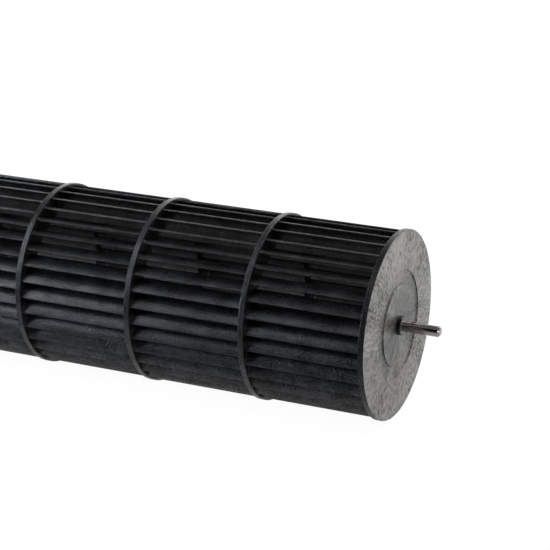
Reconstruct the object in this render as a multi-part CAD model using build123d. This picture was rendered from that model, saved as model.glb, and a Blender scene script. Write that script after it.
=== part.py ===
from build123d import *
import os
from math import acos, cos, hypot, radians, sin

# Cross flow fan wheel of a split air conditioner: a long drum of curved blades, driven at one end
# through a rubber-mounted hub and carried at the other end on a short steel journal.
# The wheel is a stack of mouldings. Each one is a flat ring with a row of blades standing on it,
# and the free ends of its blades are welded to the back of the next ring.
# Millimetres. +X runs along the axis from the motor end to the journal, +Z is up, and the
# origin is the mouth of the motor shaft's bore. Angles go round +X from +Z towards -Y.

# Wheel
wheel_radius = 52.5
row_count = 8
row_pitch = 68.6
ring_thickness = 3.2
ring_lip = 1.2                # how far a ring reaches inside its blades

# Blades
blade_count = 35
blade_inner_radius = 39.7
blade_tip_inset = 0.8         # from the rings' rims to the blades' outermost corners
blade_thickness = 1.1
blade_tip_angle = 24.0        # between a blade and the wheel's rim, at the blade's outer end
blade_flats = 3               # flats that make up each curved face of a blade
first_blade_angle = 0.6       # outer end of the first blade in the rows that aren't turned

# Idler end plate and its journal
plate_thickness = 3.2
recess_inner_radius = 22.8
recess_outer_radius = 30.5
recess_depth = 0.7
collar_radius = 5.3
collar_height = 2.8
collar_chamfer = 0.5
boss_radius = 9.0
boss_length = 10.0            # behind the plate
boss_chamfer = 1.5            # the boss's foot, where it runs out into the plate
journal_radius = 3.0
journal_length = 24.0         # from the plate's face to the tip
journal_chamfer = 1.1
seat_radius = 3.2             # the journal's thicker end, moulded into the plate
seat_depth = 11.0             # behind the plate's face

# Motor end
socket_radius = 22.5
socket_wall = 2.5
socket_depth = 14.0
hub_radius = 8.0
hub_length = 26.0
hub_bore_radius = 4.0
hub_chamfer = 0.6
damper_inset = 1.0            # the rubber's ends, below the ends of the socket
damper_sleeve = 3.0           # thickness of the rubber on the hub and in the socket
damper_web = 4.0
screw_radius = 2.5
screw_length = 10.0
screw_inset = 6.0             # from the hub's inner end to the screw's middle
screw_setback = 0.3           # left between the screw's point and the bore
screw_chamfer = 0.8
hex_width = 2.5
hex_depth = 3.0

blade_pitch = 360 / blade_count
wheel_length = row_count * row_pitch + plate_thickness
screw_place = hub_length - screw_inset

# A blade's section is an arc that leaves the inner circle radially and meets the circle of the
# outer ends at blade_tip_angle. Its corner stands half a thickness outside the arc's end.
corner_rise = blade_thickness / 2 * cos(radians(blade_tip_angle))
blade_tip_radius = wheel_radius - blade_tip_inset - corner_rise
blade_arc_radius = (blade_tip_radius**2 - blade_inner_radius**2) / (
    2 * blade_tip_radius * cos(radians(blade_tip_angle))
)
arc_centre_radius = hypot(blade_inner_radius, blade_arc_radius)
blade_arc_span = acos(
    (arc_centre_radius**2 + blade_arc_radius**2 - blade_tip_radius**2)
    / (2 * arc_centre_radius * blade_arc_radius)
) - acos(blade_arc_radius / arc_centre_radius)


def arc_point(turn, offset):
    """Radial and forward distance of a point on a blade face, from its inner end's radius."""
    radius = blade_arc_radius + offset
    return (
        blade_inner_radius + radius * sin(turn),
        blade_arc_radius - radius * cos(turn),
    )


def blade_lean():
    """Angle in degrees by which a blade's outer end stands ahead of its inner end."""
    out, ahead = arc_point(blade_arc_span, 0)
    return Vector(out, ahead).get_angle(Vector(1, 0))


def blade_face():
    """One blade's section, with its outer end at the top of the wheel."""
    turns = [blade_arc_span * i / blade_flats for i in range(blade_flats + 1)]
    back = [arc_point(turn, blade_thickness / 2) for turn in turns]
    front = [arc_point(turn, -blade_thickness / 2) for turn in reversed(turns)]
    corners = [(-ahead, out) for out, ahead in back + front]
    section = make_face(Polyline(corners, close=True))
    return Plane.YZ * Rot(Z=-blade_lean()) * section


def blade_row(missing=()):
    """A row of blades from the middle of their ring to the back of the next ring."""
    blade = Pos(X=ring_thickness / 2) * extrude(blade_face(), row_pitch - ring_thickness / 2)
    return [
        Rot(X=first_blade_angle + i * blade_pitch) * blade
        for i in range(blade_count)
        if i not in missing
    ]


def turned(outline):
    """A solid turned about the wheel's axis from (x, radius) corners."""
    return revolve(make_face(Polyline(outline, close=True)), axis=Axis.X)


def edges_at(part, x, radius):
    """The round edges of a turned part at one place along the axis."""
    return part.edges().filter_by(GeomType.CIRCLE).filter_by(
        lambda edge: abs(edge.radius - radius) < 1e-6 and abs(edge.arc_center.X - x) < 1e-6
    )


def blade_ring():
    """A middle moulding: a flat ring and its row of blades."""
    bore = blade_inner_radius - ring_lip
    ring = turned([(0, bore), (ring_thickness, bore), (ring_thickness, wheel_radius), (0, wheel_radius)])
    return ring + blade_row()


def motor_end_wheel():
    """The driven end's moulding: a plate with the damper's socket, and the first row of blades.
    One blade is left out, so that a driver reaches the clamp screw."""
    wall = socket_radius + socket_wall
    plate = turned([
        (0, socket_radius), (socket_depth, socket_radius), (socket_depth, wall),
        (ring_thickness, wall), (ring_thickness, wheel_radius), (0, wheel_radius),
    ])
    return plate + blade_row(missing=(0,))


def rubber_damper():
    """The rubber ring between socket and hub: two sleeves and a thinner web."""
    low, high = damper_inset, socket_depth - damper_inset
    web_low = (socket_depth - damper_web) / 2
    web_high = web_low + damper_web
    inner = hub_radius + damper_sleeve
    outer = socket_radius - damper_sleeve
    return turned([
        (low, hub_radius), (high, hub_radius), (high, inner), (web_high, inner),
        (web_high, outer), (high, outer), (high, socket_radius), (low, socket_radius),
        (low, outer), (web_low, outer), (web_low, inner), (low, inner),
    ])


def screw_frame():
    """The clamp screw's axis, from the bore out through the gap of the missing blade."""
    angle = first_blade_angle - blade_lean() / 2
    return Pos(X=screw_place) * Rot(X=angle) * Pos(Z=hub_bore_radius + screw_setback)


def hub():
    """The metal sleeve on the motor shaft, tapped across for the clamp screw."""
    sleeve = turned([
        (0, hub_bore_radius), (hub_length, hub_bore_radius), (hub_length, hub_radius), (0, hub_radius),
    ])
    sleeve = chamfer(edges_at(sleeve, 0, hub_radius) + edges_at(sleeve, hub_length, hub_radius), hub_chamfer)
    tapped = Cylinder(screw_radius, hub_radius, align=(Align.CENTER, Align.CENTER, Align.MIN))
    return sleeve - screw_frame() * Pos(Z=-screw_setback - hub_bore_radius / 2) * tapped


def clamp_screw():
    """A hexagon socket set screw. Its thread is left plain."""
    centred = (Align.CENTER, Align.CENTER, Align.MIN)
    screw = Cylinder(screw_radius, screw_length, align=centred)
    screw = chamfer(screw.edges().filter_by(GeomType.CIRCLE).sort_by(Axis.Z)[0], screw_chamfer)
    socket = extrude(RegularPolygon(hex_width / 2, 6, major_radius=False), hex_depth)
    return screw_frame() * (screw - Pos(Z=screw_length - hex_depth) * socket)


def idler_end_plate():
    """The disc that closes the far end, with a recess round its middle, a collar that the
    bearing runs against, and a boss behind that the journal is moulded into."""
    plate = turned([
        (-plate_thickness, wheel_radius), (0, wheel_radius), (0, recess_outer_radius),
        (-recess_depth, recess_outer_radius), (-recess_depth, recess_inner_radius),
        (0, recess_inner_radius), (0, collar_radius), (collar_height, collar_radius),
        (collar_height, seat_radius), (-seat_depth, seat_radius), (-seat_depth, 0),
        (-plate_thickness - boss_length, 0), (-plate_thickness - boss_length, boss_radius),
        (-plate_thickness, boss_radius),
    ])
    plate = chamfer(edges_at(plate, collar_height, collar_radius), collar_chamfer)
    plate = chamfer(edges_at(plate, -plate_thickness, boss_radius), boss_chamfer)
    return Pos(X=wheel_length) * plate


def idler_journal():
    """The steel pin that the bearing runs on. Its thicker seat ends flush with the collar."""
    pin = turned([
        (-seat_depth, 0), (journal_length, 0), (journal_length, journal_radius),
        (collar_height, journal_radius), (collar_height, seat_radius), (-seat_depth, seat_radius),
    ])
    pin = chamfer(edges_at(pin, journal_length, journal_radius), journal_chamfer)
    return Pos(X=wheel_length) * pin


def placed_rings():
    """The middle mouldings, every second one turned by half a blade pitch."""
    moulding = blade_ring()
    return {
        f"blade_ring_{row + 1}": Pos(X=row * row_pitch) * Rot(X=row % 2 * blade_pitch / 2) * moulding
        for row in range(1, row_count)
    }


nodes = {
    "motor_end_wheel": motor_end_wheel(),
    **placed_rings(),
    "idler_end_plate": idler_end_plate(),
    "idler_journal": idler_journal(),
    "rubber_damper": rubber_damper(),
    "hub": hub(),
    "clamp_screw": clamp_screw(),
}

os.makedirs("parts", exist_ok=True)
for name, part in nodes.items():
    export_step(part, f"parts/{name}.step")
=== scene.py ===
import bmesh
import bpy
from math import acos, atan2, cos, hypot, pi, radians, sin, tan, tau
from mathutils import Matrix, Vector


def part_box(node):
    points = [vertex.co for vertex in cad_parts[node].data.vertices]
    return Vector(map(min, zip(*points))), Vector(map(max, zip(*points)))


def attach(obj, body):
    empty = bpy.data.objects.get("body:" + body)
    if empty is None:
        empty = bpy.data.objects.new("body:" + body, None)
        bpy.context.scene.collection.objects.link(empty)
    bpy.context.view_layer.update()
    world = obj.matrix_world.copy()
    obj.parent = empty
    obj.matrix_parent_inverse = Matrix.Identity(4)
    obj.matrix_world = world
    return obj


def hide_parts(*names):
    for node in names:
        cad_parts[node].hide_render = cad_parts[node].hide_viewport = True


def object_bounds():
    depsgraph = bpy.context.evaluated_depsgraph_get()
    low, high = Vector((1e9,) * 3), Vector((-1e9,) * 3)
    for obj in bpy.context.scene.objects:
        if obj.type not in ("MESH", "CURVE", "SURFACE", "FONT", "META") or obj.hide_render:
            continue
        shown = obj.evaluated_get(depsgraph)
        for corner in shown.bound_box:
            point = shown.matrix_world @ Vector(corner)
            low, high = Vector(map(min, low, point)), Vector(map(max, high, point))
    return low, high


# A cross flow fan wheel for a split air conditioner, about 105 mm across. The frame gives the
# place of each node in metres, and each section below gives one of them its finished form and
# its surface. Angles go round +X from +Z towards -Y, as the blades sweep.
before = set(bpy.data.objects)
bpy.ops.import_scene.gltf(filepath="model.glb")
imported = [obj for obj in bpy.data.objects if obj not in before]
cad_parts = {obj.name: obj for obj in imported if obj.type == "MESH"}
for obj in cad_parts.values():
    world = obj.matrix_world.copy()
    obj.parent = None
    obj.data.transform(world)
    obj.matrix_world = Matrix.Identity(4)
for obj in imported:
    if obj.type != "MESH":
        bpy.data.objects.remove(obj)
cad_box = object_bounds()
scene = bpy.context.scene
scene.view_settings.view_transform = "Standard"
mm = 0.001


# Camera. A long lens looks down on the wheel from the journal's side. It is placed from the
# middle of the idler end plate's outer face, which the collar stands out from.
collar_height = 2.8 * mm
plate_face = Vector((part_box("idler_end_plate")[1].x - collar_height, 0, 0))
camera_azimuth, camera_elevation = radians(24.1), radians(19.91)

camera = bpy.data.objects.new("camera", bpy.data.cameras.new("camera"))
camera.data.lens = 119.1
camera.data.clip_start, camera.data.clip_end = 0.05, 60
camera.location = plate_face + Vector((0.3129, -0.8632, 0.3606))
camera.rotation_euler = (pi / 2 - camera_elevation, 0, camera_azimuth)
scene.collection.objects.link(camera)
scene.camera = camera


# Studio. The wheel lies on a white sheet between five soft lamps, with a bright wall behind it,
# brightest at the left. The sheet and the room are dimmer on the near side, where the camera
# stands, and the metal and the plastic mirror that. To the camera the sheet and the room are
# full white but for the wheel's shadow.
sheet_size = 40.0
sheet_colour = (0.88, 0.88, 0.88, 1)
sheet_strength = 1.07         # light that the sheet sends to the camera and to what mirrors it
sheet_glow = 0.9              # share of that light, beside the sheet's own lit colour
near_light = 0.15             # of the sheet's light, on the near side
wall_light = 1.8
right_share = 0.3             # of the wall's light, at its right end
ceiling_light = 0.21
white = (1, 1, 1, 1)


def put(tree, kind, inputs=None, **settings):
    """A shader node of this kind. Each input is a value, or the socket that feeds it."""
    node = tree.nodes.new("ShaderNode" + kind)
    for name, value in settings.items():
        setattr(node, name, value)
    for name, value in (inputs or {}).items():
        if isinstance(value, bpy.types.NodeSocket):
            tree.links.new(value, node.inputs[name])
        else:
            node.inputs[name].default_value = value
    return node


def combined(tree, operation, first, second):
    """The result of a math node on two values or sockets."""
    return put(tree, "Math", {0: first, 1: second}, operation=operation).outputs[0]


def empty_material(name):
    """A material whose node tree holds only its output."""
    material = bpy.data.materials.new(name)
    material.use_nodes = True
    material.node_tree.nodes.clear()
    return material, put(material.node_tree, "OutputMaterial")


sheet_material, sheet_output = empty_material("white_sheet")
sheet_tree = sheet_material.node_tree
sheet_path = put(sheet_tree, "LightPath").outputs
sheet_seen = combined(sheet_tree, "MAXIMUM", sheet_path["Is Camera Ray"], sheet_path["Is Glossy Ray"])
sheet_seen = combined(sheet_tree, "MAXIMUM", sheet_seen, sheet_path["Is Transmission Ray"])
sheet_place = put(sheet_tree, "SeparateXYZ", {0: put(sheet_tree, "NewGeometry").outputs["Position"]})
sheet_fade = put(sheet_tree, "MapRange", {
    "Value": sheet_place.outputs["Y"], "From Min": -0.3, "From Max": 0.25,
    "To Min": near_light,
}, interpolation_type="SMOOTHSTEP").outputs[0]
sheet_white = combined(sheet_tree, "MAXIMUM", sheet_fade, sheet_path["Is Camera Ray"])
sheet_mix = put(sheet_tree, "MixShader", {
    0: combined(sheet_tree, "MULTIPLY", sheet_seen, sheet_glow),
    1: put(sheet_tree, "BsdfDiffuse", {"Color": sheet_colour}).outputs[0],
    2: put(sheet_tree, "Emission", {
        "Color": white, "Strength": combined(sheet_tree, "MULTIPLY", sheet_white, sheet_strength),
    }).outputs[0],
})
sheet_tree.links.new(sheet_mix.outputs[0], sheet_output.inputs["Surface"])

sheet_mesh = bpy.data.meshes.new("white_sheet")
sheet_corners = [(-1, -1), (1, -1), (1, 1), (-1, 1)]
sheet_mesh.from_pydata(
    [(x * sheet_size / 2, y * sheet_size / 2, cad_box[0].z) for x, y in sheet_corners],
    [], [(0, 1, 2, 3)],
)
sheet_mesh.materials.append(sheet_material)
sheet = bpy.data.objects.new("white_sheet", sheet_mesh)
scene.collection.objects.link(sheet)

scene.world = bpy.data.worlds.new("white_room")
scene.world.use_nodes = True
room_tree = scene.world.node_tree
room_tree.nodes.clear()
room_path = put(room_tree, "LightPath").outputs
room_way = put(room_tree, "SeparateXYZ", {0: put(room_tree, "TexCoord").outputs["Generated"]})
height = put(room_tree, "MapRange", {
    "Value": room_way.outputs["Z"], "From Min": 0.2, "From Max": 0.8, "To Min": 1.0, "To Max": 0.0,
}, interpolation_type="SMOOTHSTEP").outputs[0]
depth = put(room_tree, "MapRange", {
    "Value": room_way.outputs["Y"], "From Min": -0.1, "From Max": 0.15,
}, interpolation_type="SMOOTHSTEP").outputs[0]
side = put(room_tree, "MapRange", {
    "Value": room_way.outputs["X"], "From Min": -0.2, "From Max": 0.3,
    "To Min": wall_light, "To Max": wall_light * right_share,
}, interpolation_type="SMOOTHSTEP").outputs[0]
ceiling = put(room_tree, "MapRange", {
    "Value": room_way.outputs["Z"], "From Min": 0.6, "From Max": 0.85, "To Max": ceiling_light,
}, interpolation_type="SMOOTHSTEP").outputs[0]
backdrop = combined(room_tree, "MULTIPLY", height, depth)
room_shine = combined(room_tree, "ADD", combined(room_tree, "MULTIPLY", backdrop, side), ceiling)
room_mirrored = combined(
    room_tree, "MAXIMUM", room_path["Is Glossy Ray"], room_path["Is Transmission Ray"]
)
room_white = combined(room_tree, "MULTIPLY", room_mirrored, backdrop)
room_shine = combined(room_tree, "MAXIMUM", room_shine, room_white)
room_strength = put(room_tree, "Mix", {0: room_path["Is Camera Ray"], 2: room_shine, 3: 1.0}).outputs[0]
room = put(room_tree, "Background", {"Color": white, "Strength": room_strength})
put(room_tree, "OutputWorld", {"Surface": room.outputs[0]})


def softbox(name, place, size, power, colour=(1, 1, 1)):
    """A square lamp at this place, facing the end of the wheel that the camera looks at."""
    lamp = bpy.data.lights.new(name, "AREA")
    lamp.size = size
    lamp.energy = power
    lamp.color = colour
    box = bpy.data.objects.new(name, lamp)
    box.location = place
    box.rotation_euler = (plate_face - box.location).to_track_quat("-Z", "Y").to_euler()
    scene.collection.objects.link(box)


softbox("softbox_left", (-0.45, -0.42, 0.24), 0.38, 9.5, (0.8, 0.9, 1))
softbox("softbox_high", (-0.53, -0.5, 0.98), 0.6, 4.8, (0.93, 0.97, 1))
softbox("softbox_over", (0.98, -0.57, 1.3), 0.6, 1.1)
softbox("softbox_right", (1.9, -0.4, 0.2), 0.45, 1.8)
softbox("softbox_back", (0.85, 0.85, 1.0), 0.6, 7.0)


# Blade rings. Each is one moulding of black glass-filled plastic: a flat ring with 35 swept
# blades that run into it with a small radius. Every second ring is turned by half a pitch, and
# the free ends of its blades are welded to the back of the next one.
ring_nodes = [f"blade_ring_{i}" for i in range(2, 9)]
wheel_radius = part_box(ring_nodes[0])[1].z
ring_bore = 38.5 * mm
ring_thickness = 3.2 * mm
ring_edge = 0.3 * mm
row_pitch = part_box(ring_nodes[1])[0].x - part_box(ring_nodes[0])[0].x
blade_count = 35
blade_inner_radius = 39.7 * mm
blade_tip_radius = 51.2 * mm
blade_thickness = 1.1 * mm
blade_tip_angle = radians(24)
blade_root = 0.35 * mm
first_blade_angle = radians(0.6)
crease_angle = radians(40)    # a sharper bend in a surface is shaded as an edge
turn_steps, arc_steps, round_steps = 144, 8, 4

blade_pitch = tau / blade_count
blade_arc_radius = (blade_tip_radius**2 - blade_inner_radius**2) / (
    2 * blade_tip_radius * cos(blade_tip_angle)
)
arc_centre_radius = hypot(blade_inner_radius, blade_arc_radius)
blade_arc_span = acos(
    (arc_centre_radius**2 + blade_arc_radius**2 - blade_tip_radius**2)
    / (2 * arc_centre_radius * blade_arc_radius)
) - acos(blade_arc_radius / arc_centre_radius)


def arc_point(turn, offset):
    """A point of a blade as (outward, forward), at this turn of its arc and offset from it."""
    radius = blade_arc_radius + offset
    return Vector((blade_inner_radius + radius * sin(turn), blade_arc_radius - radius * cos(turn)))


def blade_section(growth):
    """The outline of a blade with round ends, grown outwards all round by growth."""
    half = blade_thickness / 2 + growth
    end_turn = blade_thickness / 2 / blade_arc_radius
    first, last = end_turn, blade_arc_span - end_turn
    turns = [first + (last - first) * i / arc_steps for i in range(arc_steps + 1)]
    outline = [arc_point(turn, half) for turn in turns]
    for turn, side in ((last, 1), (first, -1)):
        across = Vector((sin(turn), -cos(turn))) * half * side
        along = Vector((cos(turn), sin(turn))) * half * side
        outline += [
            arc_point(turn, 0) + across * cos(pi * i / round_steps) + along * sin(pi * i / round_steps)
            for i in range(1, round_steps)
        ]
        if side == 1:
            outline += [arc_point(turn, -half) for turn in reversed(turns)]
    return outline


blade_tip_point = arc_point(blade_arc_span, 0)
blade_lean = atan2(blade_tip_point.y, blade_tip_point.x)


def closed_edges(bm, verts):
    """The edges that join these vertices in a loop."""
    return [bm.edges.get(pair) for pair in zip(verts, verts[1:] + verts[:1])]


def skin(bm, loops):
    """Faces between each loop of vertices and the next. A loop of one vertex is a point."""
    for near, far in zip(loops, loops[1:]):
        steps = max(len(near), len(far))
        for i in range(steps):
            j = (i + 1) % steps
            corners = [near[i % len(near)], near[j % len(near)], far[j % len(far)], far[i % len(far)]]
            corners = list(dict.fromkeys(corners))
            if len(corners) > 2:
                bm.faces.new(corners)


def add_blade(bm, angle, root, tip):
    """A blade with its outer end at this angle. Returns the edges of its open root."""
    outward = Vector((0, -sin(angle - blade_lean), cos(angle - blade_lean)))
    forward = Vector((0, -cos(angle - blade_lean), -sin(angle - blade_lean)))
    turns = [pi / 2 * i / round_steps for i in range(round_steps + 1)]
    levels = [(root + blade_root * (1 - cos(turn)), blade_root * (1 - sin(turn))) for turn in turns]
    levels.append((tip, 0))
    loops = [
        [
            bm.verts.new(Vector((x, 0, 0)) + outward * point.x + forward * point.y)
            for point in blade_section(growth)
        ]
        for x, growth in levels
    ]
    skin(bm, loops)
    bm.faces.new(loops[-1])
    return closed_edges(bm, loops[0])


def rounded(corners, steps=4):
    """The (x, radius) points of an outline whose corners (x, radius, rounding) are rounded."""
    outline = []
    for i, (x, radius, rounding) in enumerate(corners):
        corner = Vector((x, radius))
        if not rounding:
            outline.append(corner)
            continue
        to_last = (Vector(corners[i - 1][:2]) - corner).normalized()
        to_next = (Vector(corners[(i + 1) % len(corners)][:2]) - corner).normalized()
        half = to_last.angle(to_next) / 2
        centre = corner + (to_last + to_next).normalized() * rounding / sin(half)
        start = corner + to_last * rounding / tan(half) - centre
        end = corner + to_next * rounding / tan(half) - centre
        outline += [centre + start.slerp(end, k / steps) * rounding for k in range(steps + 1)]
    return outline


def turned_loops(bm, outline, steps=turn_steps):
    """One loop of vertices round the X axis for each (x, radius) point of an outline."""
    return [
        [
            bm.verts.new((x, -radius * sin(tau * i / steps), radius * cos(tau * i / steps)))
            for i in range(steps if radius else 1)
        ]
        for x, radius in outline
    ]


def finished(name, bm, material, node):
    """The mesh in bm as a piece of this name that stands for a node. Flat faces stay flat in
    the shading beside their rounded edges."""
    bmesh.ops.recalc_face_normals(bm, faces=bm.faces)
    mesh = bpy.data.meshes.new(name)
    bm.to_mesh(mesh)
    bm.free()
    mesh.shade_smooth()
    mesh.set_sharp_from_angle(angle=crease_angle)
    mesh.materials.append(material)
    piece = bpy.data.objects.new(name, mesh)
    scene.collection.objects.link(piece)
    piece.modifiers.new("even_shading", "WEIGHTED_NORMAL").keep_sharp = True
    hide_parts(node)
    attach(piece, "root")
    return piece


def bladed_mesh(outline, blade_angles, root, tip):
    """A turned outline, open from its last point to its first, with blades on its open face."""
    bm = bmesh.new()
    loops = turned_loops(bm, outline)
    skin(bm, loops)
    open_edges = closed_edges(bm, loops[0]) + closed_edges(bm, loops[-1])
    for angle in blade_angles:
        open_edges += add_blade(bm, angle, root, tip)
    bmesh.ops.triangle_fill(bm, edges=open_edges, use_beauty=True)
    return bm


def new_group(name, inputs, outputs):
    """A node group with sockets of these names and kinds, and its two end nodes."""
    group = bpy.data.node_groups.new(name, "ShaderNodeTree")
    for in_out, sockets in (("INPUT", inputs), ("OUTPUT", outputs)):
        for socket, kind in sockets.items():
            group.interface.new_socket(socket, in_out=in_out, socket_type="NodeSocket" + kind)
    return group, group.nodes.new("NodeGroupInput"), group.nodes.new("NodeGroupOutput")


# The look of glass-filled plastic: mottling of its colour, sheen, sparkle and surface, fine and
# broad. Sparkle scales how strongly each spot reflects.
plastic_group, plastic_in, plastic_out = new_group(
    "glass_filled_plastic",
    {"Place": "Vector", "Dark": "Color", "Light": "Color", "Grain": "Float", "Darkest": "Float"},
    {"Color": "Color", "Roughness": "Float", "Sparkle": "Float", "Height": "Float"},
)
fibre = put(plastic_group, "TexNoise", {
    "Vector": plastic_in.outputs["Place"], "Scale": plastic_in.outputs["Grain"],
    "Detail": 3.0, "Roughness": 0.55,
})
cloud = put(plastic_group, "TexNoise", {
    "Vector": plastic_in.outputs["Place"], "Scale": 90.0, "Detail": 2.0,
})
mottle = put(plastic_group, "Math", {
    0: cloud.outputs["Fac"], 1: 0.5, 2: fibre.outputs["Fac"],
}, operation="MULTIPLY_ADD")
fleck = put(plastic_group, "MapRange", {
    "Value": mottle.outputs[0], "From Min": plastic_in.outputs["Darkest"], "From Max": 0.95,
})
fleck_colour = put(plastic_group, "Mix", {
    0: fleck.outputs[0], 6: plastic_in.outputs["Dark"], 7: plastic_in.outputs["Light"],
}, data_type="RGBA")
sheen = put(plastic_group, "MapRange", {
    "Value": mottle.outputs[0], "From Min": 0.5, "From Max": 1.0, "To Min": 0.4, "To Max": 0.22,
})
sparkle = put(plastic_group, "MapRange", {
    "Value": mottle.outputs[0], "From Min": 0.6, "From Max": 0.9, "To Min": 0.58, "To Max": 1.42,
})
plastic_group.links.new(fleck_colour.outputs[2], plastic_out.inputs["Color"])
plastic_group.links.new(sheen.outputs[0], plastic_out.inputs["Roughness"])
plastic_group.links.new(sparkle.outputs[0], plastic_out.inputs["Sparkle"])
plastic_group.links.new(fibre.outputs["Fac"], plastic_out.inputs["Height"])


def plastic_material(name, place, dark, light, darkest, grain, bump, gloss, tone=None):
    """Glass-filled plastic, with its grain laid out by the coordinates that place makes, and its
    colour scaled by what tone makes, which can paint light and shade. Mottling below the value
    darkest is all dark. Grain counts the flecks to a metre, and bump is the depth of the surface's
    relief."""
    material, output = empty_material(name)
    tree = material.node_tree
    surface = put(tree, "Group", node_tree=plastic_group)
    for socket, value in (("Dark", dark), ("Light", light), ("Grain", grain), ("Darkest", darkest)):
        surface.inputs[socket].default_value = value
    tree.links.new(place(tree), surface.inputs["Place"])
    colour = surface.outputs["Color"]
    if tone:
        colour = put(tree, "VectorMath", {0: colour, "Scale": tone(tree)}, operation="SCALE").outputs[0]
    relief = put(tree, "Bump", {
        "Height": surface.outputs["Height"], "Strength": 1.0, "Distance": bump,
    })
    shader = put(tree, "BsdfPrincipled", {
        "Base Color": colour, "Roughness": surface.outputs["Roughness"],
        "Normal": relief.outputs["Normal"],
        "Specular IOR Level": combined(tree, "MULTIPLY", surface.outputs["Sparkle"], gloss),
    })
    tree.links.new(shader.outputs[0], output.inputs["Surface"])
    return material


def in_place(tree):
    """The point on the object, in metres."""
    return put(tree, "TexCoord").outputs["Object"]


blade_plastic = plastic_material(
    "black_blade_plastic", in_place, (0.0004, 0.0004, 0.0006, 1), (0.032, 0.0318, 0.037, 1),
    0.63, 1200.0, 0.24 * mm, 0.53,
)

for i, node in enumerate(ring_nodes):
    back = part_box(node)[0].x
    front = back + ring_thickness
    outline = rounded([
        (front, wheel_radius, ring_edge), (back, wheel_radius, ring_edge),
        (back, ring_bore, ring_edge), (front, ring_bore, ring_edge),
    ])
    turned_by = blade_pitch / 2 if i % 2 == 0 else 0
    angles = [first_blade_angle + turned_by + k * blade_pitch for k in range(blade_count)]
    mesh = bladed_mesh(outline, angles, front, back + row_pitch)
    finished(f"{node}_moulding", mesh, blade_plastic, node)


# Motor end wheel. The driven end is one moulding of the same plastic: a plate with a socket for
# the rubber damper, and a row of blades with one left out, so that a driver reaches the screw.
plate_thickness = 3.2 * mm
socket_radius = 22.5 * mm
socket_wall = 2.5 * mm
socket_depth = 14.0 * mm
plate_edge = 0.4 * mm
socket_outline = rounded([
    (plate_thickness, wheel_radius, ring_edge), (0, wheel_radius, plate_edge),
    (0, socket_radius, plate_edge), (socket_depth, socket_radius, plate_edge),
    (socket_depth, socket_radius + socket_wall, plate_edge),
    (plate_thickness, socket_radius + socket_wall, plate_edge),
])
motor_blades = [first_blade_angle + k * blade_pitch for k in range(1, blade_count)]
motor_mesh = bladed_mesh(socket_outline, motor_blades, plate_thickness, row_pitch)
finished("motor_end_moulding", motor_mesh, blade_plastic, "motor_end_wheel")


# Idler end plate. A flat disc of the same plastic closes the far end. It has a shallow recess
# round its middle, a collar that the bearing runs against, and a boss that holds the journal.
recess_inner_radius = 22.8 * mm
recess_outer_radius = 30.5 * mm
recess_depth = 0.7 * mm
collar_radius = 5.3 * mm
journal_radius = 3.0 * mm
seat_radius = 3.2 * mm
seat_depth = 11.0 * mm
boss_radius = 9.0 * mm
boss_length = 10.0 * mm
boss_foot = 2.0 * mm          # rounding between the boss and the plate's back


def from_axis(tree):
    """Distance from the axis, and the direction away from it."""
    point = put(tree, "SeparateXYZ", {0: in_place(tree)})
    flat = put(tree, "CombineXYZ", {1: point.outputs["Y"], 2: point.outputs["Z"]})
    reach = put(tree, "VectorMath", {0: flat.outputs[0]}, operation="LENGTH")
    way = put(tree, "VectorMath", {0: flat.outputs[0]}, operation="NORMALIZE")
    return reach.outputs["Value"], way.outputs[0]


def radial_flow(tree):
    """Coordinates that stretch the grain outwards from the axis, as the melt flowed."""
    reach, way = from_axis(tree)
    round_way = put(tree, "VectorMath", {0: way, "Scale": 26 * mm}, operation="SCALE")
    along = put(tree, "CombineXYZ", {0: combined(tree, "MULTIPLY", reach, 0.25)})
    return put(tree, "VectorMath", {0: round_way.outputs[0], 1: along.outputs[0]}).outputs[0]


def plate_painted_light(tree):
    """The face's lightness: darker towards its middle, a painted sheen that makes its top and bottom
    lighter than its sides, and painted shade over its recess.
    """
    reach, way = from_axis(tree)
    # Painted sheen: the face is lighter at its top and bottom than at its sides.
    painted_sheen = put(tree, "Math", {
        0: put(tree, "SeparateXYZ", {0: way}).outputs["Z"], 1: 2.0,
    }, operation="POWER").outputs[0]
    outward = put(tree, "MapRange", {
        "Value": reach, "From Min": 18 * mm, "From Max": 34 * mm, "To Min": 0.31, "To Max": 0.72,
    }).outputs[0]
    sheen_and_tone = put(tree, "Math", {0: painted_sheen, 1: 0.2, 2: outward}, operation="MULTIPLY_ADD").outputs[0]
    # Painted shade: the face is darker over its recess.
    off_recess = put(tree, "Math", {0: reach, 1: 26 * mm}, operation="SUBTRACT").outputs[0]
    shaded = put(tree, "MapRange", {
        "Value": put(tree, "Math", {0: off_recess}, operation="ABSOLUTE").outputs[0],
        "From Min": 1 * mm, "From Max": 5 * mm, "To Min": 0.9, "To Max": 1.0,
    }, interpolation_type="SMOOTHSTEP").outputs[0]
    return combined(tree, "MULTIPLY", sheen_and_tone, shaded)


plate_plastic = plastic_material(
    "grey_plate_plastic", radial_flow, (0.025, 0.0238, 0.0226, 1), (0.5, 0.475, 0.452, 1),
    0.52, 1250.0, 0.28 * mm, 0.5, plate_painted_light,
)
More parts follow.
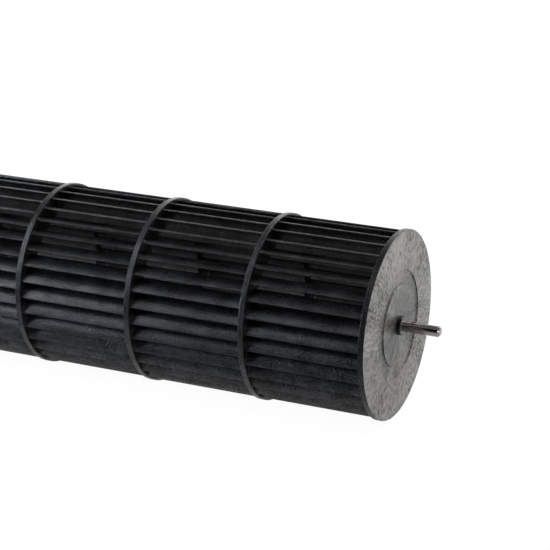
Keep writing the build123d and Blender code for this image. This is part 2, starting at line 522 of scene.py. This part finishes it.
# A darker, duller copy of the blade plastic, as painted shade, for the rim, the back and the walls that
# face down.
shaded_rim_plastic = plastic_material(
    "black_plate_plastic", in_place, (0.0004, 0.0004, 0.0005, 1), (0.014, 0.0138, 0.016, 1),
    0.63, 1500.0, 0.2 * mm, 0.4,
)
face = plate_face.x
plate_back = face - plate_thickness
boss_end = plate_back - boss_length
plate_mesh = bmesh.new()
plate_loops = turned_loops(plate_mesh, rounded([
    (plate_back, wheel_radius, ring_edge), (face, wheel_radius, plate_edge),
    (face, recess_outer_radius, 0.2 * mm), (face - recess_depth, recess_outer_radius, 0.45 * mm),
    (face - recess_depth, recess_inner_radius, 0.45 * mm), (face, recess_inner_radius, 0.2 * mm),
    (face, collar_radius, 0.3 * mm), (face + collar_height, collar_radius, 0.5 * mm),
    (face + collar_height, seat_radius, 0), (face - seat_depth, seat_radius, 0),
    (face - seat_depth, 0, 0), (boss_end, 0, 0), (boss_end, boss_radius, plate_edge),
    (plate_back, boss_radius, boss_foot),
]))
skin(plate_mesh, plate_loops + plate_loops[:1])
plate = finished(
    "idler_end_plate_moulding", plate_mesh, shaded_rim_plastic, "idler_end_plate",
)
# The face is grey. Walls of its recess that face upwards take the grey as painted light,
# and those that face down stay black as painted shade. The rim and the back stay black.
plate.data.materials.append(plate_plastic)
for polygon in plate.data.polygons:
    reach = hypot(polygon.center.y, polygon.center.z)
    # Painted light and shade: a wall's plastic depends on whether it faces up or down.
    painted_lit_wall = polygon.normal.z > -0.05 and polygon.center.x > plate_back
    recessed = recess_inner_radius - plate_edge < reach < recess_outer_radius + plate_edge
    polygon.material_index = int(polygon.normal.x > 0.6 or painted_lit_wall and recessed)


# Idler journal. A ground steel pin with a chamfered tip. Its thicker seat is moulded into the
# plate's boss and ends flush with the collar.
journal_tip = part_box("idler_journal")[1].x
journal_chamfer = 1.1 * mm


def metal_material(name, colour, roughness, mark_size, marks):
    """Metal with fine marks that run round the X axis, as a lathe or a grinding wheel leaves them."""
    material, output = empty_material(name)
    tree = material.node_tree
    along = put(tree, "Mapping", {
        "Vector": in_place(tree), "Scale": (1 / mark_size, 60, 60),
    }).outputs[0]
    lines = put(tree, "TexNoise", {"Vector": along, "Scale": 1.0, "Detail": 3.0}).outputs["Fac"]
    wear = put(tree, "TexNoise", {"Vector": in_place(tree), "Scale": 400.0, "Detail": 3.0})
    shine = put(tree, "MapRange", {
        "Value": wear.outputs["Fac"], "From Min": 0.3, "From Max": 0.7,
        "To Min": roughness * 0.8, "To Max": roughness * 1.3,
    }).outputs[0]
    tint = put(tree, "MapRange", {
        "Value": lines, "From Min": 0.3, "From Max": 0.7, "To Min": 0.8, "To Max": 1.0,
    }).outputs[0]
    shade = put(tree, "VectorMath", {0: colour, "Scale": tint}, operation="SCALE").outputs[0]
    relief = put(tree, "Bump", {"Height": lines, "Strength": marks, "Distance": 0.01 * mm})
    shader = put(tree, "BsdfPrincipled", {
        "Base Color": shade, "Roughness": shine, "Metallic": 1.0, "Normal": relief.outputs["Normal"],
    })
    tree.links.new(shader.outputs[0], output.inputs["Surface"])
    return material


journal_steel = metal_material("ground_steel", (0.4, 0.385, 0.37), 0.12, 0.08 * mm, 0.2)
journal_mesh = bmesh.new()
skin(journal_mesh, turned_loops(journal_mesh, [Vector((face - seat_depth, 0))] + rounded([
    (face - seat_depth, seat_radius, 0), (face + collar_height, seat_radius, 0),
    (face + collar_height, journal_radius, 0), (journal_tip - journal_chamfer, journal_radius, 0.3 * mm),
    (journal_tip, journal_radius - journal_chamfer, 0.3 * mm), (journal_tip, 0, 0),
], steps=6), steps=64))
finished("journal_pin", journal_mesh, journal_steel, "idler_journal")


# Rubber damper. A moulded rubber ring between socket and hub: two sleeves joined by a web that
# lets the wheel give. It is bonded to both, so its round faces touch them.
damper_sleeve = 3.0 * mm
damper_web = 4.0 * mm
hub_radius = 8.0 * mm
damper_low, damper_high = (corner.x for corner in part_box("rubber_damper"))
web_low = (damper_low + damper_high - damper_web) / 2
web_high = web_low + damper_web
inner_sleeve = hub_radius + damper_sleeve
outer_sleeve = socket_radius - damper_sleeve
lip, throat = 0.5 * mm, 1.2 * mm
damper_mesh = bmesh.new()
damper_loops = turned_loops(damper_mesh, rounded([
    (damper_low, hub_radius, 0), (damper_high, hub_radius, 0), (damper_high, inner_sleeve, lip),
    (web_high, inner_sleeve, throat), (web_high, outer_sleeve, throat), (damper_high, outer_sleeve, lip),
    (damper_high, socket_radius, 0), (damper_low, socket_radius, 0), (damper_low, outer_sleeve, lip),
    (web_low, outer_sleeve, throat), (web_low, inner_sleeve, throat), (damper_low, inner_sleeve, lip),
]))
skin(damper_mesh, damper_loops + damper_loops[:1])

damper_rubber, rubber_output = empty_material("black_rubber")
rubber_tree = damper_rubber.node_tree
bloom = put(rubber_tree, "TexNoise", {"Vector": in_place(rubber_tree), "Scale": 250.0, "Detail": 4.0})
pores = put(rubber_tree, "TexNoise", {"Vector": in_place(rubber_tree), "Scale": 3000.0, "Detail": 2.0})
rubber_colour = put(rubber_tree, "Mix", {
    0: bloom.outputs["Fac"], 6: (0.008, 0.008, 0.008, 1), 7: (0.035, 0.034, 0.033, 1),
}, data_type="RGBA")
rubber_relief = put(rubber_tree, "Bump", {
    "Height": pores.outputs["Fac"], "Strength": 0.4, "Distance": 0.05 * mm,
})
rubber_shader = put(rubber_tree, "BsdfPrincipled", {
    "Base Color": rubber_colour.outputs[2], "Roughness": 0.78, "Specular IOR Level": 0.35,
    "Normal": rubber_relief.outputs["Normal"],
})
rubber_tree.links.new(rubber_shader.outputs[0], rubber_output.inputs["Surface"])
finished("damper_ring", damper_mesh, damper_rubber, "rubber_damper")


# Hub. A turned aluminium sleeve that slides on the motor shaft. The CAD solid shows it as it
# is, with its chamfers and the hole for the clamp screw, so only its surface is made here.
hub_aluminium = metal_material("turned_aluminium", (0.72, 0.72, 0.73), 0.3, 0.18 * mm, 0.6)
for hub_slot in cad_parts["hub"].material_slots:
    hub_slot.material = hub_aluminium


# Clamp screw. A blackened hexagon socket set screw, M5, that clamps the hub on the motor shaft.
screw_radius = 2.5 * mm
screw_length = 10.0 * mm
screw_point = 0.8 * mm
thread_pitch = 0.8 * mm
thread_depth = 0.45 * mm
hex_width = 2.5 * mm
hex_depth = 3.0 * mm
screw_low, screw_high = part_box("clamp_screw")
screw_middle = (screw_low + screw_high) / 2
screw_way = Vector((0, screw_middle.y, screw_middle.z)).normalized()
flank_slope = 1.4
thread_runout = 0.5 * mm
thread_steps, thread_rows = 36, 96


def thread_radius(along, turn):
    """Radius of the threaded surface at this height and turn, with a plain rim and a cone point."""
    phase = (along / thread_pitch - turn / tau) % 1
    depth = thread_depth * min(1, abs(2 * phase - 1) * flank_slope)
    depth *= min(1, (screw_length - along) / thread_runout)
    return min(screw_radius - depth, screw_radius - screw_point + along)


def hexagon_radius(turn):
    """Distance from the middle of the hexagon socket to its wall at this turn."""
    return hex_width / 2 / cos((turn + pi / 6) % (pi / 3) - pi / 6)


screw_mesh = bmesh.new()
turns = [tau * i / thread_steps for i in range(thread_steps)]
heights = [screw_length * row / thread_rows for row in range(thread_rows + 1)]
levels = [(along, [thread_radius(along, turn) for turn in turns]) for along in heights]
levels += [(screw_length - sunk, [hexagon_radius(turn) for turn in turns]) for sunk in (0, hex_depth)]
screw_loops = [[screw_mesh.verts.new((0, 0, 0))]]
for along, radii in levels:
    screw_loops.append([
        screw_mesh.verts.new((cos(turn) * radius, sin(turn) * radius, along))
        for turn, radius in zip(turns, radii)
    ])
screw_loops.append([screw_mesh.verts.new((0, 0, screw_length - hex_depth))])
skin(screw_mesh, screw_loops)
screw_turn = screw_way.to_track_quat("Z", "X").to_matrix().to_4x4()
screw_mesh.transform(Matrix.Translation(screw_middle - screw_way * screw_length / 2) @ screw_turn)
screw_steel = metal_material("blackened_steel", (0.06, 0.06, 0.065), 0.35, 0.1 * mm, 0.3)
finished("clamp_set_screw", screw_mesh, screw_steel, "clamp_screw")
